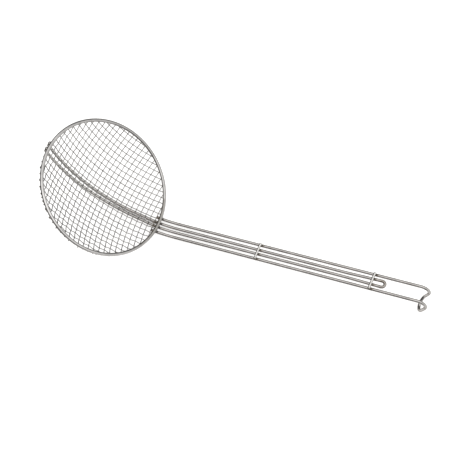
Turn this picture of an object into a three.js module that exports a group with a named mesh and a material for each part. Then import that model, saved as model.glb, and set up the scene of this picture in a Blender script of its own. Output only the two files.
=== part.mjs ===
// Wire frying strainer: a dish of woven mesh in a round-wire rim, on a handle of two doubled wires that
// ends in a hook. Each wire is modelled from the middle of the rim, with +X towards the handle and +Z out
// of the dish, and the whole strainer is then laid on a table as the real one lies, on the curve of its
// handle wires and the tip of its hook.
// Millimetres throughout, and degrees where a name says so.
import * as THREE from "three";

// Rim and dish
const rimOuterDiameter = 165;
const rimWireDiameter = 4;
const dishDepth = 29.5; // from the rim wire's centre plane down to the middle of the mesh
const meshWireDiameter = 1.05;
const crosswiseCount = 26;
const lengthwiseCount = 25;
const meshEdgeMargin = 6.2; // along the mesh, from under the rim wire to the outermost mesh wire
const meshEndInset = 0.9; // mesh wires' cut ends, in from the outside of the rim, seen square to it
const lengthwiseShift = 1; // the lengthwise wires lie this far to +Y in the middle of the dish,
const lengthwiseTurnDegrees = -1; // and this far from square to the crosswise ones

// Handle: an outer doubled wire that ends in the hook, and an inner one that runs on under the dish
const handleWireDiameter = 3.5;
const handleArcPastRim = 27.2; // the handle wires keep the dish's curve this far past the rim
const handleLength = 319.5; // along the wire, from the rim to the start of the hook
const outerLegSpacing = 18.6;
const outerLegTuck = 6.3; // the outer legs end this far inside the rim
const innerLegSpacing = 5.6;
const nearBarSpacing = 5.1; // under the dish the inner legs are bars, which first close up to this,
const nearBarShare = 0.3; // with this share of their way done,
const farBarSpacing = 7.8; // and then spread to this under the far side of the dish
const farBarOverhang = 1; // they end this far past the far rim wire's middle, seen square to the rim
const nearBarShift = 1.3; // they run this far to +Y of the handle's middle inside the near rim,
const farBarShift = 1.9; // and this far at their ends
const barShiftStart = 10; // they bend to it from this far outside the rim wire's middle
const barShiftEnd = 20; // to this far inside it
const innerLoopWidth = 7.6; // across the inner wire's closed end, centre to centre
const innerLoopTaper = 40; // the inner legs widen to it over this length
const hangingLoopLength = 38.5; // from the inner wire's closed end to the start of the hook

// Hook: both outer legs bend down and back, and the wire's closed end is its tip
const hookBendRadius = 10.4;
const hookTurnDegrees = 116;
const hookReturn = 6; // straight stretch after the bend

// Tie wires across the handle
const tieWireDiameter = 2.8;
const middleTieDistance = 128.5; // along the handle from the rim
const endTieSetback = 15; // back from the inner wire's closed end
const tieWrapDegrees = 20; // how far each end turns down round the outer leg

// Space left between wires that touch
const seatClearance = 0.3;

// Facets: sides of each wire's section, and steps along its curves
const rimSides = 10;
const rimSteps = 72;
const handleSides = 8;
const handleArcStep = THREE.MathUtils.degToRad(3.2);
const hookBendSteps = 7;
const closedEndSteps = 8;
const tieSides = 8;
const tieWrapSteps = 2;
const meshSides = 4;

// Plated steel, a little brighter on the ties and the rim than on the mesh
const rimFinish = { color: 0xaaa7a2, roughness: 0.3, metalness: 1 };
const handleFinish = { color: 0x9f9b95, roughness: 0.35, metalness: 1 };
const tieFinish = { color: 0xb9b7b3, roughness: 0.25, metalness: 1 };
const meshFinish = { color: 0x96928c, roughness: 0.4, metalness: 1 };

// A wire's section is a regular polygon with the round wire's own area, with flats that face up and down.
function flatReach(diameter, sides) {
  return (diameter / 2) * Math.sqrt(Math.PI / (sides * Math.tan(Math.PI / sides)));
}

function cornerReach(diameter, sides) {
  return flatReach(diameter, sides) / Math.cos(Math.PI / sides);
}

// How far the section reaches in a direction at this angle from one of its flats.
function sectionReach(angle, diameter, sides) {
  const sector = (2 * Math.PI) / sides;
  const fromCorner = THREE.MathUtils.euclideanModulo(angle, sector) - sector / 2;
  return cornerReach(diameter, sides) * Math.cos(fromCorner);
}

function wireSection(diameter, sides) {
  const corners = [];
  for (let k = 0; k < sides; k += 1) {
    const angle = ((k + 0.5) * 2 * Math.PI) / sides;
    const corner = new THREE.Vector2(Math.cos(angle), Math.sin(angle));
    corners.push(corner.multiplyScalar(cornerReach(diameter, sides)));
  }
  return new THREE.Shape(corners);
}

// A wire's centre line through stations, each a point and the direction that its section's top faces.
class StationPath extends THREE.Curve {
  constructor(stations) {
    super();
    this.stations = stations;
  }

  getPoint(t, target = new THREE.Vector3()) {
    const index = Math.round(t * (this.stations.length - 1));
    return target.copy(this.stations[index].point);
  }

  getPointAt(u, target) {
    return this.getPoint(u, target);
  }

  // Half way between the directions of the steps before and after a station.
  directionAt(index) {
    const direction = new THREE.Vector3();
    for (const first of [index - 1, index]) {
      if (first >= 0 && first + 1 < this.stations.length) {
        const step = this.stations[first + 1].point.clone().sub(this.stations[first].point);
        direction.add(step.normalize());
      }
    }
    return direction.normalize();
  }

  computeFrenetFrames() {
    const frames = { tangents: [], normals: [], binormals: [] };
    this.stations.forEach(({ up }, index) => {
      const tangent = this.directionAt(index);
      const normal = up.clone().cross(tangent).normalize();
      frames.tangents.push(tangent);
      frames.normals.push(normal);
      frames.binormals.push(tangent.clone().cross(normal));
    });
    return frames;
  }
}

function wireMesh(name, stations, diameter, sides, finish) {
  const geometry = new THREE.ExtrudeGeometry(wireSection(diameter, sides), {
    steps: stations.length - 1,
    bevelEnabled: false,
    extrudePath: new StationPath(stations),
  });
  const wire = new THREE.Mesh(geometry, new THREE.MeshStandardMaterial(finish));
  wire.name = name;
  return wire;
}

// The mesh lies on a ball's surface, with the rim wire on top of it and the handle wires under it.
const meshFlat = flatReach(meshWireDiameter, meshSides);
const handleFlat = flatReach(handleWireDiameter, handleSides);
const tieFlat = flatReach(tieWireDiameter, tieSides);
const rimCorner = cornerReach(rimWireDiameter, rimSides);
const weaveLift = meshFlat + seatClearance / 2; // each mesh wire, above or below the middle of the mesh
const meshHalfThickness = weaveLift + meshFlat;
const rimRadius = rimOuterDiameter / 2 - rimCorner;
const rimLift = meshHalfThickness + seatClearance + rimCorner; // the rim wire, above the middle of the mesh
const dishRadius = (rimRadius ** 2 + dishDepth ** 2 - rimLift ** 2) / (2 * (dishDepth - rimLift));
const dishCentre = new THREE.Vector3(0, 0, dishRadius - dishDepth);
const rimAngle = Math.asin(rimRadius / (dishRadius - rimLift));
const handleRadius = dishRadius + meshHalfThickness + seatClearance + handleFlat;
const handleAngle = rimAngle + handleArcPastRim / handleRadius; // the straight handle's slope to the rim
const hookTurn = THREE.MathUtils.degToRad(hookTurnDegrees);

// Directions in the handle's side view, at a slope to the rim's plane
function alongSlope(slope) {
  return new THREE.Vector3(Math.cos(slope), 0, Math.sin(slope));
}

function upFromSlope(slope) {
  return new THREE.Vector3(-Math.sin(slope), 0, Math.cos(slope));
}

// A station of a handle wire under the dish or on the curve past the rim, by its slope there.
function arcStation(slope, y) {
  const up = upFromSlope(slope);
  const point = dishCentre.clone().addScaledVector(up, -handleRadius).setY(y);
  return { point, up };
}

// A station on the straight handle, by its distance from the rim along the wire.
function straightStation(distance, y) {
  const { point, up } = arcStation(handleAngle, y);
  point.addScaledVector(alongSlope(handleAngle), distance - handleArcPastRim);
  return { point, up };
}

// A station on the hook's bend, by how far the wire has turned.
function bendStation(turn, y) {
  const start = straightStation(handleLength, y);
  const up = upFromSlope(handleAngle - turn);
  const bendCentre = start.point.addScaledVector(start.up, -hookBendRadius);
  const point = bendCentre.addScaledVector(up, hookBendRadius);
  return { point, up };
}

// A station on the straight stretch after the bend, and on past it to the hook's tip.
function returnStation(distance, y) {
  const { point, up } = bendStation(hookTurn, y);
  point.addScaledVector(alongSlope(handleAngle - hookTurn), distance);
  return { point, up };
}

// Lying on a table, the strainer rests on one flat of the handle wires' curve and on the tip of its hook.
function tipAboveTable(tilt) {
  const up = upFromSlope(tilt);
  const tableDistance = (handleRadius + handleFlat) * Math.cos(handleArcStep / 2);
  const table = dishCentre.dot(up) - tableDistance;
  const tip = returnStation(hookReturn + outerLegSpacing / 2, 0).point.dot(up);
  const tipSlope = handleAngle - hookTurn - tilt;
  return tip - sectionReach(tipSlope, handleWireDiameter, handleSides) - table;
}

function findRestTilt() {
  let low = 0;
  let high = handleAngle;
  for (let k = 0; k < 60; k += 1) {
    const middle = (low + high) / 2;
    if (tipAboveTable(middle) > 0) {
      low = middle;
    } else {
      high = middle;
    }
  }
  return low;
}

const restTilt = findRestTilt();

// Slopes of the stations from one slope to another, in even steps of which one lies flat on the table.
function arcSlopes(first, last) {
  const slopes = [first];
  const steps = Math.ceil((first - restTilt) / handleArcStep - 0.5);
  for (let slope = restTilt + (steps + 0.5) * handleArcStep; slope < last; slope += handleArcStep) {
    slopes.push(slope);
  }
  slopes.push(last);
  return slopes;
}

// A doubled wire: one leg, a half circle across the closed end and the same leg back.
function doubledWire(leg, direction) {
  const end = leg[leg.length - 1];
  const radius = -end.point.y;
  const closedEnd = [];
  for (let k = 1; k < closedEndSteps; k += 1) {
    const turn = (Math.PI * k) / closedEndSteps;
    const point = end.point.clone().addScaledVector(direction, radius * Math.sin(turn));
    closedEnd.push({ point: point.setY(-radius * Math.cos(turn)), up: end.up });
  }
  const back = leg.map(({ point, up }) => ({ point: point.clone().setY(-point.y), up }));
  return [...leg, ...closedEnd, ...back.reverse()];
}

function outerHandleWire() {
  const y = -outerLegSpacing / 2;
  const tuckSlope = rimAngle - outerLegTuck / handleRadius;
  const leg = arcSlopes(tuckSlope, handleAngle).map((slope) => arcStation(slope, y));
  for (let k = 0; k <= hookBendSteps; k += 1) {
    leg.push(bendStation((hookTurn * k) / hookBendSteps, y));
  }
  leg.push(returnStation(hookReturn, y));
  const stations = doubledWire(leg, alongSlope(handleAngle - hookTurn));
  return wireMesh("outer_handle_wire", stations, handleWireDiameter, handleSides, handleFinish);
}

const innerEndDistance = handleLength - hangingLoopLength; // from the rim to the inner wire's closed end

// The space between the bars, by the share of their way from the near rim to their far ends, and how far
// to +Y they run.
function barSpacing(share) {
  if (share < nearBarShare) {
    return THREE.MathUtils.lerp(innerLegSpacing, nearBarSpacing, Math.max(share, 0) / nearBarShare);
  }
  return THREE.MathUtils.lerp(nearBarSpacing, farBarSpacing, (share - nearBarShare) / (1 - nearBarShare));
}

function barAside(x) {
  const outside = THREE.MathUtils.smoothstep(x, rimRadius - barShiftEnd, rimRadius + barShiftStart);
  const shift = THREE.MathUtils.mapLinear(x, rimRadius, -rimRadius, nearBarShift, farBarShift);
  return shift * (1 - outside);
}

function innerHandleWire() {
  const farSlope = -Math.asin((rimRadius + farBarOverhang) / handleRadius);
  const leg = arcSlopes(farSlope, handleAngle).map((slope) => {
    const share = (rimAngle - slope) / (rimAngle - farSlope);
    return arcStation(slope, -barSpacing(share) / 2);
  });
  const closedEndStart = innerEndDistance - innerLoopWidth / 2;
  leg.push(straightStation(closedEndStart - innerLoopTaper, -innerLegSpacing / 2));
  leg.push(straightStation(closedEndStart, -innerLoopWidth / 2));
  const stations = doubledWire(leg, alongSlope(handleAngle));
  for (const { point } of stations) {
    point.y += barAside(point.x);
  }
  return wireMesh("inner_handle_wire", stations, handleWireDiameter, handleSides, handleFinish);
}

// A tie wire lies on top of the four handle wires, with its ends turned down round the outer two.
function tieWire(name, distance) {
  const { point: seat, up } = straightStation(distance, 0);
  const lift = handleFlat + seatClearance + tieFlat;
  const side = new THREE.Vector3(0, 1, 0);
  const half = [];
  for (let k = tieWrapSteps; k >= 0; k -= 1) {
    const turn = (THREE.MathUtils.degToRad(tieWrapDegrees) * k) / tieWrapSteps;
    const facing = up.clone().multiplyScalar(Math.cos(turn)).addScaledVector(side, -Math.sin(turn));
    const legCentre = seat.clone().setY(-outerLegSpacing / 2);
    half.push({ point: legCentre.addScaledVector(facing, lift), up: facing });
  }
  const mirror = new THREE.Vector3(1, -1, 1);
  const otherHalf = half.map((station) => ({
    point: station.point.clone().multiply(mirror),
    up: station.up.clone().multiply(mirror),
  }));
  return wireMesh(name, [...half, ...otherHalf.reverse()], tieWireDiameter, tieSides, tieFinish);
}

function rimRing() {
  const geometry = new THREE.TorusGeometry(rimRadius, rimCorner, rimSides, rimSteps);
  const ring = new THREE.Mesh(geometry, new THREE.MeshStandardMaterial(rimFinish));
  ring.name = "rim_ring";
  return ring;
}

// The mesh wires that run one way, numbered from 1, at even distances along the dish's curve.
function meshFamily(count) {
  const pitch = (2 * (dishRadius * rimAngle - meshEdgeMargin)) / (count - 1);
  const middle = (count + 1) / 2;
  return {
    count,
    offsetOf: (number) => dishRadius * Math.sin(((number - middle) * pitch) / dishRadius),
    numberAt: (offset) => middle + (dishRadius * Math.asin(offset / dishRadius)) / pitch,
  };
}

const crosswise = meshFamily(crosswiseCount);
const lengthwise = meshFamily(lengthwiseCount);

// A station of a mesh wire, above (+) or below (-) the middle of the mesh.
function meshStation(x, y, lift) {
  const drop = Math.sqrt(dishRadius ** 2 - x ** 2 - y ** 2);
  const up = new THREE.Vector3(-x, -y, drop).divideScalar(dishRadius);
  const point = dishCentre.clone().addScaledVector(up, lift - dishRadius);
  return { point, up };
}

// How far to +Y the lengthwise wires lie, and where one of them is cut off at either end.
const meshEndRadius = rimOuterDiameter / 2 - meshEndInset;
const lengthwiseSlant = Math.tan(THREE.MathUtils.degToRad(lengthwiseTurnDegrees));

function lengthwiseAside(x) {
  return lengthwiseShift + lengthwiseSlant * x;
}

function lengthwiseEnds(y) {
  const middle = y + lengthwiseAside(0);
  const lean = 1 + lengthwiseSlant ** 2;
  const reach = Math.sqrt(meshEndRadius ** 2 * lean - middle ** 2);
  return [-reach, reach].map((side) => (side - middle * lengthwiseSlant) / lean);
}

// One mesh wire's places along its length, with its lift at each: over and under the wires that it crosses,
// which lie aside from their own middle places by the same distance.
function weave([first, last], crossed, aside, overOdd) {
  const liftOver = (number) => ((Math.abs(number % 2) === 1) === overOdd ? weaveLift : -weaveLift);
  const endPlace = (along) => {
    const number = crossed.numberAt(along - aside);
    const before = Math.floor(number);
    return { along, lift: THREE.MathUtils.lerp(liftOver(before), liftOver(before + 1), number - before) };
  };
  const places = [endPlace(first)];
  for (let number = 1; number <= crossed.count; number += 1) {
    const along = crossed.offsetOf(number) + aside;
    if (along > first && along < last) {
      places.push({ along, lift: liftOver(number) });
    }
  }
  places.push(endPlace(last));
  return places;
}

function meshWireName(way, number) {
  return `${way}_mesh_wire_${String(number).padStart(2, "0")}`;
}

function crosswiseWire(number) {
  const x = crosswise.offsetOf(number);
  const reach = Math.sqrt(meshEndRadius ** 2 - x ** 2);
  const places = weave([-reach, reach], lengthwise, lengthwiseAside(x), number % 2 === 0);
  const stations = places.map(({ along, lift }) => meshStation(x, along, lift));
  const name = meshWireName("crosswise", number);
  return wireMesh(name, stations, meshWireDiameter, meshSides, meshFinish);
}

function lengthwiseWire(number) {
  const y = lengthwise.offsetOf(number);
  const places = weave(lengthwiseEnds(y), crosswise, 0, number % 2 === 1);
  const stations = places.map(({ along, lift }) => meshStation(along, y + lengthwiseAside(along), lift));
  const name = meshWireName("lengthwise", number);
  return wireMesh(name, stations, meshWireDiameter, meshSides, meshFinish);
}

const dish = new THREE.Group();
dish.add(rimRing());
for (let number = 1; number <= crosswiseCount; number += 1) {
  dish.add(crosswiseWire(number));
}
for (let number = 1; number <= lengthwiseCount; number += 1) {
  dish.add(lengthwiseWire(number));
}

const handle = new THREE.Group();
handle.add(outerHandleWire());
handle.add(innerHandleWire());
handle.add(tieWire("middle_tie_wire", middleTieDistance));
handle.add(tieWire("end_tie_wire", innerEndDistance - endTieSetback));

const strainer = new THREE.Group();
strainer.add(dish, handle);
strainer.rotation.y = restTilt;

// The origin is on the table, under the middle of the strainer's box.
const extent = new THREE.Box3().setFromObject(strainer, true);
const middle = extent.getCenter(new THREE.Vector3());
strainer.position.set(-middle.x, -middle.y, -extent.min.z);

const part = new THREE.Group();
part.add(strainer);

export default part;
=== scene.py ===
import math

import bmesh
import bpy
import numpy as np
from mathutils import Matrix, Quaternion, Vector


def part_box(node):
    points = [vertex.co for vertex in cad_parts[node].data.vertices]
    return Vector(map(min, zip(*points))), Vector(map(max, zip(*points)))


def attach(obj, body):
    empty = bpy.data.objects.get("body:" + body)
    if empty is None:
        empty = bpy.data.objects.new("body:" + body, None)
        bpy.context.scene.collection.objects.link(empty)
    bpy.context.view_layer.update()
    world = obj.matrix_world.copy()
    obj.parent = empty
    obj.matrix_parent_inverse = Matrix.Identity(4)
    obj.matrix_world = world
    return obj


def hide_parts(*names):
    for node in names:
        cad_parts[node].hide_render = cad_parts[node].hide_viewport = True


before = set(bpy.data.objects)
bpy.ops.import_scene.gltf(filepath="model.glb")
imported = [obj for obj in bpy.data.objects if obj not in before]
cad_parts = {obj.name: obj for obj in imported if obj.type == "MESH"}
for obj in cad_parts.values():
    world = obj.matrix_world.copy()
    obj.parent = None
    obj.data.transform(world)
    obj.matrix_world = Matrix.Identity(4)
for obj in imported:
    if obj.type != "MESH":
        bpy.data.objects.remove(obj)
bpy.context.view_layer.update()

mm = 0.001
scene = bpy.context.scene


# Sizes shared by the pieces, in millimetres, round the middle of the rim
dish = {
    "ringRadius": 80.43,     # to the middle of the rim wire
    "ringWire": 4.0,
    "curveRadius": 140.64,   # the ball that the mesh is pressed to
    "depth": 29.5,
    "meshWire": 1.05,
    "weaveLift": 0.58,       # mesh wires, above and below the ball
    "edgeMargin": 6.2,       # along the mesh, from under the rim to the outermost wire
    "wireEnd": 81.6,         # how far out the mesh wires are cut off
    "lengthwiseShift": 1.0,  # the lengthwise wires, to +Y in the middle of the dish
    "lengthwiseSlant": math.tan(math.radians(-1)),
    "rimAngle": math.radians(35.894),
}
handle = {
    "wire": 3.5,
    "curveRadius": 143.72,
    "curvePastRim": 27.2,
    "length": 319.5,         # from the rim to the hook's bend
    "outerSpacing": 18.6,
    "outerTuck": 6.3,
    "innerSpacing": 5.6,
    "nearSpacing": 5.1,      # between the bars under the dish, where they are closest
    "nearShare": 0.3,        # and how much of their way is done there
    "farSpacing": 7.8,
    "farOverhang": 1.0,
    "nearShift": 1.3,        # the bars, to +Y of the handle's middle inside the near rim
    "farShift": 1.9,         # and at their ends
    "barShiftStart": 10.0,   # from here outside the rim
    "barShiftEnd": 20.0,     # to here inside it
    "loopWidth": 7.6,
    "loopTaper": 40.0,
    "loopGap": 38.5,         # from the inner wire's closed end to the hook's bend
    "middleTie": 128.5,      # from the rim
    "endTieSetback": 15.0,   # back from the inner wire's closed end
    "hookRadius": 10.4,
    "hookTurn": math.radians(116),
    "hookReturn": 6.0,
}


# The rim's own axes, from the ring as it lies in the frame
def findRim():
    low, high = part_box("rim_ring")
    points = np.array([v.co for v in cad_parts["rim_ring"].data.vertices])
    middle = (low + high) / 2
    spread = np.linalg.svd(points - np.array(middle), full_matrices=False)[2]
    out = Vector(spread[2])      # the ring is thinnest square to its plane
    if out.z < 0:
        out = -out
    across = Vector((0, 1, 0))
    along = across.cross(out).normalized()
    turn = Matrix((along, across, out)).transposed().to_4x4()
    return Matrix.Translation(middle) @ turn


rimToRow = findRim() @ Matrix.Scale(mm, 4)
print("frame: rim axes found")


# Node helper and colours
def linear(hexColour):
    def channel(value):
        return value / 12.92 if value <= 0.04045 else ((value + 0.055) / 1.055) ** 2.4
    parts = [int(hexColour[k:k + 2], 16) / 255 for k in (1, 3, 5)]
    return (*[channel(part) for part in parts], 1.0)


def grey(tone):
    return (tone, tone, tone, 1.0)


# Sockets of a Mix node that mixes colours, by number because three kinds share their names
mixFirst = 6
mixSecond = 7
mixResult = 2


def addNode(tree, kind, inputs=None, **settings):
    node = tree.nodes.new(kind)
    for key, value in settings.items():
        setattr(node, key, value)
    for key, value in (inputs or {}).items():
        if isinstance(value, bpy.types.NodeSocket):
            tree.links.new(value, node.inputs[key])
        else:
            node.inputs[key].default_value = value
    return node


def newMaterial(name):
    material = bpy.data.materials.new(name)
    material.use_nodes = True
    tree = material.node_tree
    tree.nodes.clear()
    shader = addNode(tree, "ShaderNodeBsdfPrincipled")
    output = addNode(tree, "ShaderNodeOutputMaterial")
    tree.links.new(shader.outputs["BSDF"], output.inputs["Surface"])
    return material, tree, shader


# Nickel plate on drawn steel wire: a warm grey mirror that handling and hot oil have dulled in soft patches,
# with faint lines along the wire from drawing it, stretches painted brighter as painted highlights, and straw
# to brown tints where welding heated it, which on the handle and rim also paint shade beside the ties and by
# the handle
plating = {
    "patchDetail": 3.0, "patchGrit": 0.55, "patchSpan": (0.35, 0.68),
    "lineDetail": 2.0, "lineSpan": (0.3, 0.7),
    "lineBump": 0.25, "lineHeight": 0.2,      # height as a share of a line's width
    "roughSpan": (0.3, 0.7), "roughSwing": 0.07,
    "heatRough": 0.25, "strawHeat": 0.45,     # what full heat adds, and the heat that turns it straw
}


def nickelPlate(name, look):
    material, tree, shader = newMaterial(name)
    where = addNode(tree, "ShaderNodeTexCoord")
    patches = addNode(tree, "ShaderNodeTexNoise", {
        "Vector": where.outputs["Object"],
        "Scale": 1 / (look["patch"] * mm),
        "Detail": plating["patchDetail"],
        "Roughness": plating["patchGrit"],
    })
    spread = addNode(tree, "ShaderNodeMapRange", {
        "Value": patches.outputs["Fac"],
        "From Min": plating["patchSpan"][0], "From Max": plating["patchSpan"][1],
    })
    colour = addNode(tree, "ShaderNodeMix", {
        "Factor": spread.outputs["Result"],
        mixFirst: linear(look["bright"]), mixSecond: linear(look["dull"]),
    }, data_type="RGBA").outputs[mixResult]
    # Painted highlight: mixes the colour toward a brighter tone by a painted share
    if "worn" in look:
        wear = addNode(tree, "ShaderNodeAttribute", attribute_name="wear")
        colour = addNode(tree, "ShaderNodeMix", {
            "Factor": wear.outputs["Fac"], mixFirst: colour, mixSecond: linear(look["worn"]),
        }, data_type="RGBA").outputs[mixResult]
    lineScale = addNode(tree, "ShaderNodeMapping", {
        "Vector": where.outputs["UV"],
        "Scale": (1 / (look["lineLength"] * mm), 1 / (look["lineWidth"] * mm), 1.0),
    })
    lines = addNode(tree, "ShaderNodeTexNoise", {
        "Vector": lineScale.outputs["Vector"], "Scale": 1.0, "Detail": plating["lineDetail"],
    })
    lineShade = addNode(tree, "ShaderNodeMapRange", {
        "Value": lines.outputs["Fac"],
        "From Min": plating["lineSpan"][0], "From Max": plating["lineSpan"][1],
        "To Min": 1 - look["lineDepth"], "To Max": 1.0,
    })
    lined = addNode(tree, "ShaderNodeMix", {
        "Factor": 1.0, mixFirst: colour, mixSecond: lineShade.outputs["Result"],
    }, data_type="RGBA", blend_type="MULTIPLY")
    # Weld heat tint from straw to burnt; the same share also carries painted shade beside the ties and along
    # the rim's dish side by the handle
    heatAndShade = addNode(tree, "ShaderNodeAttribute", attribute_name="weldHeatAndShade")
    tint = addNode(tree, "ShaderNodeValToRGB", {"Fac": heatAndShade.outputs["Fac"]})
    stops = tint.color_ramp.elements
    stops[0].color = linear("#ffffff")
    stops[1].color = linear(look["burnt"])
    stops.new(plating["strawHeat"]).color = linear(look["straw"])
    heated = addNode(tree, "ShaderNodeMix", {
        "Factor": 1.0, mixFirst: lined.outputs[mixResult], mixSecond: tint.outputs["Color"],
    }, data_type="RGBA", blend_type="MULTIPLY")
    rough = addNode(tree, "ShaderNodeMapRange", {
        "Value": patches.outputs["Fac"],
        "From Min": plating["roughSpan"][0], "From Max": plating["roughSpan"][1],
        "To Min": look["rough"] - plating["roughSwing"], "To Max": look["rough"] + plating["roughSwing"],
    })
    hotRough = addNode(tree, "ShaderNodeMath", {
        0: heatAndShade.outputs["Fac"], 1: plating["heatRough"], 2: rough.outputs["Result"],
    }, operation="MULTIPLY_ADD")
    bump = addNode(tree, "ShaderNodeBump", {
        "Height": lines.outputs["Fac"], "Strength": plating["lineBump"],
        "Distance": look["lineWidth"] * mm * plating["lineHeight"],
    })
    tree.links.new(heated.outputs[mixResult], shader.inputs["Base Color"])
    tree.links.new(hotRough.outputs["Value"], shader.inputs["Roughness"])
    tree.links.new(bump.outputs["Normal"], shader.inputs["Normal"])
    shader.inputs["Metallic"].default_value = 1.0
    shader.inputs["Specular Tint"].default_value = linear(look["edge"])
    return material


# The brighter tones at the end of the rim's and handle's first lines are painted-highlight colours; the
# handle's burnt tone also paints the shade beside the ties
rimLook = {
    "bright": "#bfbdbb", "dull": "#aeacaa", "edge": "#b6b4b2", "worn": "#d7d5d3",
    "straw": "#cfccc7", "burnt": "#65625c",
    "patch": 14.0, "lineLength": 18.0, "lineWidth": 0.35, "lineDepth": 0.10, "rough": 0.15,
}
handleLook = {
    "bright": "#b5b1ae", "dull": "#a39f9c", "edge": "#979390", "worn": "#d4d2ce",
    "straw": "#d3ccc2", "burnt": "#5c564d",
    "patch": 11.0, "lineLength": 14.0, "lineWidth": 0.3, "lineDepth": 0.12, "rough": 0.14,
}
tieLook = {
    "bright": "#d9d7d4", "dull": "#c9c7c4", "edge": "#605e5b",
    "straw": "#dcd5cb", "burnt": "#8a8278",
    "patch": 7.0, "lineLength": 8.0, "lineWidth": 0.3, "lineDepth": 0.08, "rough": 0.15,
}
meshLook = {
    "bright": "#b3b1af", "dull": "#9a9896", "edge": "#8f8d8b",
    "straw": "#d3cabe", "burnt": "#625a51",
    "patch": 17.0, "lineLength": 10.0, "lineWidth": 0.25, "lineDepth": 0.10, "rough": 0.22,
}
finishes = {
    "plated_rim_wire": nickelPlate("nickelPlatedRimWire", rimLook),
    "plated_handle_wire": nickelPlate("nickelPlatedHandleWire", handleLook),
    "plated_tie_wire": nickelPlate("brightNickelTieWire", tieLook),
    "plated_mesh_wire": nickelPlate("nickelPlatedMeshWire", meshLook),
}
print("materials: %d finishes" % len(finishes))


drawing = {"endSteps": 3, "seamGap": 0.002}    # steps round a cut end, and the gap that a seam may have


# A round wire along points in the rim's axes, with its cut ends rounded off by cutRound, or a closed ring
def drawWire(name, points, diameter, sides, cutRound=0.0):
    curve = bpy.data.curves.new(name, "CURVE")
    curve.dimensions = "3D"
    curve.bevel_depth = diameter / 2 * mm
    curve.bevel_resolution = (sides - 4) // 2    # the bevel has 4 sides and 2 more for each of these
    curve.use_fill_caps = cutRound > 0
    sizes = [1.0] * len(points)
    if cutRound > 0:
        points, sizes = roundEnds(points, diameter, cutRound)
    spline = curve.splines.new("POLY")
    spline.points.add(len(points) - 1)
    for spot, point, size in zip(spline.points, points, sizes):
        spot.co = (*(rimToRow @ point), 1)
        spot.radius = size
    spline.use_cyclic_u = cutRound == 0
    spline.use_smooth = True
    drawn = bpy.data.objects.new(name, curve)
    scene.collection.objects.link(drawn)
    seen = drawn.evaluated_get(bpy.context.evaluated_depsgraph_get())
    mesh = bpy.data.meshes.new_from_object(seen)
    bpy.data.objects.remove(drawn)
    bpy.data.curves.remove(curve)
    closeSeams(mesh)
    length = sum((b - a).length for a, b in zip(points, points[1:]))
    stretchUV(mesh, length * mm, math.pi * diameter * mm)
    return mesh


# Swaps each cut end for a few points that narrow to it
def roundEnds(points, diameter, cutRound):
    capped = []
    for line in (points, points[::-1]):
        tip, inward = line[0], (line[1] - line[0]).normalized()
        end = []
        for k in range(drawing["endSteps"] + 1):
            turn = math.pi / 2 * k / drawing["endSteps"]
            size = 1 - cutRound * (1 - math.sin(turn)) / (diameter / 2)
            end.append((tip + inward * cutRound * (1 - math.cos(turn)), size))
        capped.append(end)
    middle = [(point, 1.0) for point in points[1:-1]
              if min((point - points[0]).length, (point - points[-1]).length) > cutRound]
    run = capped[0] + middle + capped[1][::-1]
    return [point for point, size in run], [size for point, size in run]


def closeSeams(mesh):
    build = bmesh.new()
    build.from_mesh(mesh)
    bmesh.ops.remove_doubles(build, verts=build.verts, dist=drawing["seamGap"] * mm)
    bmesh.ops.recalc_face_normals(build, faces=build.faces)
    keepSmooth(build, mesh)


def keepSmooth(build, mesh):
    for face in build.faces:
        face.smooth = True
    build.to_mesh(mesh)
    build.free()


# Makes the wire's own UV map run in metres, along it and round it
def stretchUV(mesh, along, around):
    layer = mesh.uv_layers.active
    values = np.zeros(len(layer.data) * 2, np.float32)
    layer.data.foreach_get("uv", values)
    values = values.reshape(-1, 2) * (along, around)
    layer.data.foreach_set("uv", values.ravel().astype(np.float32))


def paint(mesh, name, values):
    layer = mesh.attributes.new(name, "FLOAT", "POINT")
    layer.data.foreach_set("value", values.astype(np.float32))


# How much weld heat tint and painted shade each point of a wire gets, from 0 to 1, by groups of (centres,
# reach)
def heatAndShadeFrom(mesh, *groups):
    points = np.array([v.co for v in mesh.vertices])
    heatAndShade = np.zeros(len(points))
    for welds, reach in groups:
        for weld in welds:
            far = np.linalg.norm(points - np.array(rimToRow @ weld), axis=1)
            heatAndShade = np.maximum(heatAndShade, np.exp(-(far / (reach * mm)) ** 2))
    paint(mesh, "weldHeatAndShade", heatAndShade)


def smooth(share):
    share = np.clip(share, 0, 1)
    return share * share * (3 - 2 * share)


# How much painted highlight a wire gets: a share that rises from 0 to its most between two places along a
# direction
def highlightBetween(mesh, first, full, most, direction=(1, 0, 0)):
    places = np.array([v.co for v in mesh.vertices]) @ np.array(direction) / mm
    paint(mesh, "wear", most * smooth((places - first) / (full - first)))


# Puts a finished mesh in the scene in place of its CAD node
def place(name, mesh, node, slot):
    piece = bpy.data.objects.new(name, mesh)
    scene.collection.objects.link(piece)
    mesh.materials.clear()
    mesh.materials.append(finishes[slot])
    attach(piece, "root")
    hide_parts(node)


# Points on the handle's line, by slope under the dish and by distance past the rim
ballHeight = dish["curveRadius"] - dish["depth"]
handleAngle = dish["rimAngle"] + handle["curvePastRim"] / handle["curveRadius"]


def upFrom(slope):
    return Vector((-math.sin(slope), 0, math.cos(slope)))


def alongSlope(slope):
    return Vector((math.cos(slope), 0, math.sin(slope)))


def curvePoint(slope, y):
    return Vector((0, y, ballHeight)) - upFrom(slope) * handle["curveRadius"]


def straightPoint(distance, y):
    return curvePoint(handleAngle, y) + alongSlope(handleAngle) * (distance - handle["curvePastRim"])


def bendPoint(turn, y):
    middle = straightPoint(handle["length"], y) - upFrom(handleAngle) * handle["hookRadius"]
    return middle + upFrom(handleAngle - turn) * handle["hookRadius"]


def steps(first, last, stride):
    count = max(int(math.ceil(abs(last - first) / stride)), 1)
    return [first + (last - first) * k / count for k in range(count + 1)]


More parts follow.
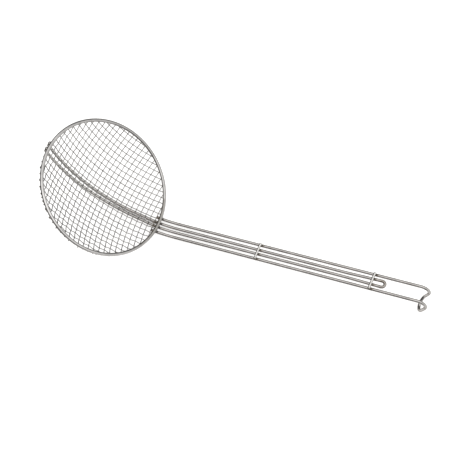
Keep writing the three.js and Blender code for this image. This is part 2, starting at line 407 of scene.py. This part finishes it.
handleFinish = {
    "sides": 16, "curveStep": math.radians(0.6), "straightStep": 0.75,
    "bowStep": math.radians(7.5), "hookStep": math.radians(5), "outerCut": 0.7, "innerCut": 0.9,
    "rimHeat": 3.1, "burnInside": 3.0,                     # round the welds, this far inside the rim
    "tieHeat": 2.3, "tieShadeShift": 1.9,                   # weld heat tint and painted shade beside the ties, moved toward the hook side where the shade falls
    "loopDarkening": 3.8,                                       # darker round the inner wire's bent end
    # Painted highlights: brighter toward the hook, and on the bars under the far half of the dish
    "hookHighlight": (205, 217, 0.35), "dishHighlight": (-140, -190, 1.0),
}


# One leg, a half circle in the direction the leg ends in, and the leg mirrored back
def doubled(leg, direction):
    end = leg[-1]
    radius = -end.y
    bow = []
    for turn in steps(0, math.pi, handleFinish["bowStep"])[1:-1]:
        point = end + direction * radius * math.sin(turn)
        point.y = -radius * math.cos(turn)
        bow.append(point)
    back = [Vector((point.x, -point.y, point.z)) for point in leg]
    return leg + bow + back[::-1]


# Each tie's distance from the rim, and how far it was set askew: millimetres along for each one across
tieSpots = {
    "middle_tie_wire": (handle["middleTie"], 0.03),
    "end_tie_wire": (handle["length"] - handle["loopGap"] - handle["endTieSetback"], 0.09),
}
legSides = [handle["outerSpacing"] / 2, handle["innerSpacing"] / 2]
farSlope = -math.asin((dish["ringRadius"] + handle["farOverhang"]) / handle["curveRadius"])


# The bars under the dish: how far to +Y they lie, and the space between them at a slope
def barAside(x):
    radius = dish["ringRadius"]
    outside = smooth((x - radius + handle["barShiftEnd"]) / (handle["barShiftStart"] + handle["barShiftEnd"]))
    growth = (handle["farShift"] - handle["nearShift"]) * (radius - x) / (2 * radius)
    return (handle["nearShift"] + growth) * (1 - outside)


def barSpacing(slope):
    share = max((dish["rimAngle"] - slope) / (dish["rimAngle"] - farSlope), 0)
    spacings = [handle[key] for key in ("innerSpacing", "nearSpacing", "farSpacing")]
    return float(np.interp(share, (0, handle["nearShare"], 1), spacings))


def barPoint(slope, side):
    point = curvePoint(slope, side * barSpacing(slope) / 2)
    point.y += barAside(point.x)
    return point


# Places on the four wires at the near rim, or a little inside it
def jointPoints(inside):
    slope = dish["rimAngle"] - inside / handle["curveRadius"]
    outer = [curvePoint(slope, side * handle["outerSpacing"] / 2) for side in (-1, 1)]
    return outer + [barPoint(slope, side) for side in (-1, 1)]


rimWelds = jointPoints(0)
rimBurns = jointPoints(handleFinish["burnInside"])
farWelds = [barPoint(-dish["rimAngle"], side) for side in (-1, 1)]
wireTop = upFrom(handleAngle) * handle["wire"] / 2


def weldsOf(spot, askew, shift=0.0):
    sides = [side * y for y in legSides for side in (-1, 1)]
    return [straightPoint(spot + askew * y + shift, y) + wireTop for y in sides]


# Centres of the dark spots beside the ties: weld heat tint and painted shade, moved toward the hook
tieBurnAndShadeSpots = []
for spot, askew in tieSpots.values():
    tieBurnAndShadeSpots += weldsOf(spot, askew, handleFinish["tieShadeShift"])


def outerHandleWire():
    y = -handle["outerSpacing"] / 2
    tuck = dish["rimAngle"] - handle["outerTuck"] / handle["curveRadius"]
    leg = [curvePoint(slope, y) for slope in steps(tuck, handleAngle, handleFinish["curveStep"])]
    run = steps(handle["curvePastRim"], handle["length"], handleFinish["straightStep"])
    leg += [straightPoint(distance, y) for distance in run[1:]]
    leg += [bendPoint(turn, y) for turn in steps(0, handle["hookTurn"], handleFinish["hookStep"])[1:]]
    down = alongSlope(handleAngle - handle["hookTurn"])
    leg.append(leg[-1] + down * handle["hookReturn"])
    points = doubled(leg, down)
    mesh = drawWire("outerHandleWire", points, handle["wire"], handleFinish["sides"],
                    handleFinish["outerCut"])
    heatAndShadeFrom(mesh, (rimBurns, handleFinish["rimHeat"]), (tieBurnAndShadeSpots, handleFinish["tieHeat"]))
    # Painted highlight toward the hook
    highlightBetween(mesh, *handleFinish["hookHighlight"])
    place("outerHandleWire", mesh, "outer_handle_wire", "plated_handle_wire")


def innerHandleWire():
    narrow = handle["innerSpacing"] / 2
    slopes = steps(farSlope, handleAngle, handleFinish["curveStep"])
    leg = [curvePoint(slope, -barSpacing(slope) / 2) for slope in slopes]
    loopStart = handle["length"] - handle["loopGap"] - handle["loopWidth"] / 2
    taperStart = loopStart - handle["loopTaper"]
    for distance in steps(handle["curvePastRim"], taperStart, handleFinish["straightStep"])[1:]:
        leg.append(straightPoint(distance, -narrow))
    widen = handle["loopWidth"] / 2 - narrow
    for distance in steps(taperStart, loopStart, handleFinish["straightStep"])[1:]:
        share = (distance - taperStart) / handle["loopTaper"]
        leg.append(straightPoint(distance, -narrow - widen * share))
    points = [point + Vector((0, barAside(point.x), 0)) for point in doubled(leg, alongSlope(handleAngle))]
    mesh = drawWire("innerHandleWire", points, handle["wire"], handleFinish["sides"],
                    handleFinish["innerCut"])
    heatAndShadeFrom(mesh, (rimBurns + farWelds, handleFinish["rimHeat"]), (tieBurnAndShadeSpots, handleFinish["tieHeat"]),
             ([straightPoint(loopStart, 0)], handleFinish["loopDarkening"]))
    # Painted highlight on the bars under the far half of the dish
    highlightBetween(mesh, *handleFinish["dishHighlight"])
    place("innerHandleWire", mesh, "inner_handle_wire", "plated_handle_wire")


outerHandleWire()
innerHandleWire()
print("handle: two doubled wires")


# A weld's squeezed-out metal: a ball flattened along its own axes
def nugget(build, middle, axes, size):
    turn = Matrix(axes).transposed().to_4x4()
    stretch = Matrix.Diagonal((*size, 1))
    matrix = rimToRow @ Matrix.Translation(middle) @ turn @ stretch
    bmesh.ops.create_icosphere(build, subdivisions=2, radius=1.0, matrix=matrix)


tie = {
    "wire": 2.8, "sides": 16, "lift": 3.2, "cutRound": 0.6, "straightStep": 0.6,
    "wrap": math.radians(20), "wrapStep": math.radians(6),
    "sag": 0.12, "bays": 3,    # how far it dips between the legs, in each space between them
    "heatReach": 1.4, "weld": (1.8, 1.4, 0.75),
}


def tieWire(name, node, distance, askew):
    up = upFrom(handleAngle)
    seat = straightPoint(distance, 0)
    half = []
    reach = handle["outerSpacing"] / 2
    for turn in steps(tie["wrap"], 0, tie["wrapStep"]):
        facing = up * math.cos(turn) + Vector((0, -math.sin(turn), 0))
        half.append(seat + Vector((0, -reach, 0)) + facing * tie["lift"])
    for y in steps(-reach, 0, tie["straightStep"])[1:]:
        dip = tie["sag"] * (1 - math.cos(2 * math.pi * y / (reach * 2 / tie["bays"]))) / 2
        half.append(seat + Vector((0, y, 0)) + up * (tie["lift"] - dip))
    points = half + [Vector((point.x, -point.y, point.z)) for point in half[-2::-1]]
    points = [point + alongSlope(handleAngle) * askew * point.y for point in points]
    mesh = drawWire(name, points, tie["wire"], tie["sides"], tie["cutRound"])
    build = bmesh.new()
    build.from_mesh(mesh)
    axes = (alongSlope(handleAngle), Vector((0, 1, 0)), up)
    welds = weldsOf(distance, askew)
    for weld in welds:
        nugget(build, weld, axes, tie["weld"])
    keepSmooth(build, mesh)
    heatAndShadeFrom(mesh, (welds, tie["heatReach"]))
    place(name, mesh, node, "plated_tie_wire")


for node, (distance, askew) in tieSpots.items():
    words = node.split("_")
    tieWire(words[0] + "".join(word.capitalize() for word in words[1:]), node, distance, askew)
print("ties: %d" % len(tieSpots))


# Mesh wires, numbered along the ball's curve, each over and under the ones that it crosses
meshRun = {
    "crosswise": 26, "lengthwise": 25, "sides": 8, "pointsPerCell": 8, "cutRound": 0.15,
    "endHeat": 2.2, "handleHeat": 5.8,
}


def pitchOf(count):
    return 2 * (dish["curveRadius"] * dish["rimAngle"] - dish["edgeMargin"]) / (count - 1)


def offsetOf(number, count):
    turn = (number - (count + 1) / 2) * pitchOf(count) / dish["curveRadius"]
    return dish["curveRadius"] * math.sin(turn)


def numberAt(offset, count):
    turn = math.asin(offset / dish["curveRadius"])
    return (count + 1) / 2 + turn * dish["curveRadius"] / pitchOf(count)


def onBall(x, y, lift):
    up = Vector((-x, -y, math.sqrt(dish["curveRadius"] ** 2 - x * x - y * y))) / dish["curveRadius"]
    return Vector((0, 0, ballHeight)) + up * (lift - dish["curveRadius"])


wireEnds = []


# How far to +Y the lengthwise wires lie, and where a wire is cut off at either end
def lengthwiseAside(x):
    return dish["lengthwiseShift"] + dish["lengthwiseSlant"] * x


def cutOff(middle, slant):
    lean = 1 + slant ** 2
    reach = math.sqrt(dish["wireEnd"] ** 2 * lean - middle ** 2)
    return [(side - middle * slant) / lean for side in (-reach, reach)]


def meshWire(way, number):
    lengthwise = way == "lengthwise"
    count = meshRun[way]
    crossed = meshRun["crosswise" if lengthwise else "lengthwise"]
    offset = offsetOf(number, count)
    if lengthwise:
        aside, ends = 0.0, cutOff(offset + lengthwiseAside(0), dish["lengthwiseSlant"])
    else:
        aside, ends = lengthwiseAside(offset), cutOff(offset, 0.0)
    first, last = [numberAt(end - aside, crossed) for end in ends]
    overOdd = number % 2 == (1 if lengthwise else 0)
    points = []
    for passed in steps(first, last, 1 / meshRun["pointsPerCell"]):
        along = offsetOf(passed, crossed) + aside
        lift = dish["weaveLift"] * math.cos(math.pi * passed) * (-1 if overOdd else 1)
        if lengthwise:
            points.append(onBall(along, offset + lengthwiseAside(along), lift))
        else:
            points.append(onBall(offset, along, lift))
    wireEnds.extend([points[0], points[-1]])
    name = "%sMeshWire%02d" % (way, number)
    mesh = drawWire(name, points, dish["meshWire"], meshRun["sides"], meshRun["cutRound"])
    heatAndShadeFrom(mesh, ([points[0], points[-1]], meshRun["endHeat"]), (rimBurns, meshRun["handleHeat"]))
    place(name, mesh, "%s_mesh_wire_%02d" % (way, number), "plated_mesh_wire")


for way in ("crosswise", "lengthwise"):
    for number in range(1, meshRun[way] + 1):
        meshWire(way, number)
print("mesh: %d wires" % (meshRun["crosswise"] + meshRun["lengthwise"]))


# Rim: one wire bent to a ring, with the metal that its welds squeezed out
rim = {
    "sides": 20, "steps": 180, "meshWeld": (0.9, 0.75, 0.6), "handleWeld": (2.6, 2.0, 1.9),
    "weldOut": 0.5,            # a weld's middle, out from the wire's side, as a share of its height
    "endHeat": 3.0, "handleHeat": 4.6,
    "frontHighlight": (120, 142, 1.0, (-0.42, -0.91, 0)),   # painted highlight on the rim's front side
    "innerDarkBand": (78.4, 0.6), "bandReach": 2.3,        # a darker band on the dish's side, by the handle: painted shade of a dark reflection there, tinted as weld heat
    "bandSpan": (math.radians(-27), math.radians(21)), "bandStep": math.radians(2),
}


def rimRing():
    radius = dish["ringRadius"]
    points = []
    for k in range(rim["steps"]):
        turn = 2 * math.pi * k / rim["steps"]
        points.append(Vector((radius * math.cos(turn), radius * math.sin(turn), 0)))
    mesh = drawWire("rimRing", points, dish["ringWire"], rim["sides"])
    build = bmesh.new()
    build.from_mesh(mesh)
    spots = [(end, rim["meshWeld"]) for end in wireEnds]
    spots += [(weld, rim["handleWeld"]) for weld in rimWelds + farWelds]
    for spot, size in spots:
        outward = Vector((spot.x, spot.y, 0)).normalized()
        onRing = outward * radius
        toSpot = (spot - onRing).normalized()
        side = outward.cross(toSpot).normalized()
        across = toSpot.cross(side)
        middle = onRing + toSpot * (dish["ringWire"] / 2 + size[2] * rim["weldOut"])
        nugget(build, middle, (side, across, toSpot), size)
    keepSmooth(build, mesh)
    # Painted shade: a darker band along the rim's dish side by the handle, through the weld-heat share
    bandRadius, bandHeight = rim["innerDarkBand"]
    bandSpots = [Vector((bandRadius * math.cos(turn), bandRadius * math.sin(turn), bandHeight))
             for turn in steps(*rim["bandSpan"], rim["bandStep"])]
    heatAndShadeFrom(mesh, (farWelds + wireEnds, rim["endHeat"]), (rimWelds, rim["handleHeat"]),
             (bandSpots, rim["bandReach"]))
    # Painted highlight on the rim's front side
    highlightBetween(mesh, *rim["frontHighlight"])
    place("rimRing", mesh, "rim_ring", "plated_rim_wire")


rimRing()
print("rim: ring and %d welds" % (len(wireEnds) + len(rimWelds) + len(farWelds)))


# Camera, at the photograph's viewing angle
view = {
    "eye": (174.93, -413.69, 882.94), "aim": (-12.19, 7.75, 32.77),
    "roll": math.radians(-4.553), "lens": 64.83, "sensor": 36.0,
    "sight": 50.0,    # metres that it sees, past the wall of the floor
}


def placeCamera():
    data = bpy.data.cameras.new("camera")
    data.lens = view["lens"]
    data.sensor_width = view["sensor"]
    data.clip_end = view["sight"]
    camera = bpy.data.objects.new("camera", data)
    scene.collection.objects.link(camera)
    eye, aim = Vector(view["eye"]) * mm, Vector(view["aim"]) * mm
    turn = (aim - eye).to_track_quat("-Z", "Y") @ Quaternion((0, 0, 1), view["roll"])
    camera.matrix_world = Matrix.Translation(eye) @ turn.to_matrix().to_4x4()
    scene.camera = camera


placeCamera()


# Floor: a white table top that glows a little, as an opal one lit from below, coved up to a wall far off
floor = {
    "flat": 4.0, "cove": 1.5, "wall": 3.0,         # metres
    "coveStep": math.radians(10), "turns": 64,
    "drop": 0.15, "grain": 60.0, "grainDetail": 2.0,
    "pale": "#b4b3b1", "shade": "#adacaa", "rough": 0.9, "gloss": 0.1, "glow": 0.72,
}


def layFloor():
    build = bmesh.new()
    corner = Vector((floor["flat"], 0, floor["cove"]))
    outline = [Vector((0, 0, 0))]
    for turn in steps(0, math.pi / 2, floor["coveStep"]):
        outline.append(corner + Vector((math.sin(turn), 0, -math.cos(turn))) * floor["cove"])
    outline.append(outline[-1] + Vector((0, 0, floor["wall"])))
    dots = [build.verts.new(point - Vector((0, 0, floor["drop"] * mm))) for point in outline]
    edges = [build.edges.new(pair) for pair in zip(dots, dots[1:])]
    bmesh.ops.spin(build, geom=dots + edges, cent=(0, 0, 0), axis=(0, 0, 1), dvec=(0, 0, 0),
                   angle=2 * math.pi, steps=floor["turns"], use_merge=True)
    bmesh.ops.remove_doubles(build, verts=build.verts, dist=mm)
    bmesh.ops.recalc_face_normals(build, faces=build.faces)
    bmesh.ops.reverse_faces(build, faces=build.faces)
    mesh = bpy.data.meshes.new("floor")
    keepSmooth(build, mesh)
    material, tree, shader = newMaterial("opalWhiteTable")
    where = addNode(tree, "ShaderNodeTexCoord")
    grain = addNode(tree, "ShaderNodeTexNoise", {
        "Vector": where.outputs["Object"],
        "Scale": 1 / (floor["grain"] * mm),
        "Detail": floor["grainDetail"],
    })
    tone = addNode(tree, "ShaderNodeMix", {
        "Factor": grain.outputs["Fac"],
        mixFirst: linear(floor["pale"]), mixSecond: linear(floor["shade"]),
    }, data_type="RGBA")
    tree.links.new(tone.outputs[mixResult], shader.inputs["Base Color"])
    shader.inputs["Roughness"].default_value = floor["rough"]
    shader.inputs["Specular IOR Level"].default_value = floor["gloss"]
    shader.inputs["Emission Color"].default_value = linear("#ffffff")
    shader.inputs["Emission Strength"].default_value = floor["glow"]
    mesh.materials.append(material)
    table = bpy.data.objects.new("floor", mesh)
    scene.collection.objects.link(table)
    table.visible_glossy = False   # the wires mirror the studio's own lower half instead


layFloor()


# Studio as the wires mirror it: a wide soft light overhead, a white table, a room that is pale past the hook
# and dim past the dish, and dark cards along its sides, which give round wire its dark edges
studio = {
    "light": 1.5, "table": 1.2, "pale": 1.05, "dim": 0.08, "cards": 0.18,
    "paleEdge": (-0.5, 0.5),      # places on a ball round the object, -1 past the dish and 1 past the hook
    "lightEdge": (0.58, 0.80),    # heights on it, from 0 at its middle to 1 at the top
    "tableEdge": (0.40, 0.62),    # depths in the same way
    "cardEdge": (0.50, 0.85),     # and distances to either side
}


def lightStudio():
    world = bpy.data.worlds.new("studio")
    scene.world = world
    world.use_nodes = True
    tree = world.node_tree
    tree.nodes.clear()
    where = addNode(tree, "ShaderNodeTexCoord")
    axes = addNode(tree, "ShaderNodeSeparateXYZ", {"Vector": where.outputs["Generated"]})
    depth = addNode(tree, "ShaderNodeMath", {0: axes.outputs["Z"], 1: -1.0}, operation="MULTIPLY")
    aside = addNode(tree, "ShaderNodeMath", {0: axes.outputs["Y"]}, operation="ABSOLUTE")
    layers = [
        (axes.outputs["X"], studio["paleEdge"], studio["pale"]),
        (aside.outputs["Value"], studio["cardEdge"], studio["cards"]),
        (axes.outputs["Z"], studio["lightEdge"], studio["light"]),
        (depth.outputs["Value"], studio["tableEdge"], studio["table"]),
    ]
    seen = grey(studio["dim"])
    for value, (first, full), tone in layers:
        share = addNode(tree, "ShaderNodeMapRange", {
            "Value": value, "From Min": first, "From Max": full,
        }, interpolation_type="SMOOTHSTEP")
        seen = addNode(tree, "ShaderNodeMix", {
            "Factor": share.outputs["Result"], mixFirst: seen, mixSecond: grey(tone),
        }, data_type="RGBA").outputs[mixResult]
    glow = addNode(tree, "ShaderNodeBackground", {"Color": seen, "Strength": 1.0})
    addNode(tree, "ShaderNodeOutputWorld", {"Surface": glow.outputs["Background"]})
    scene.view_settings.view_transform = "Standard"


lightStudio()
print("stage: camera, floor and lights")
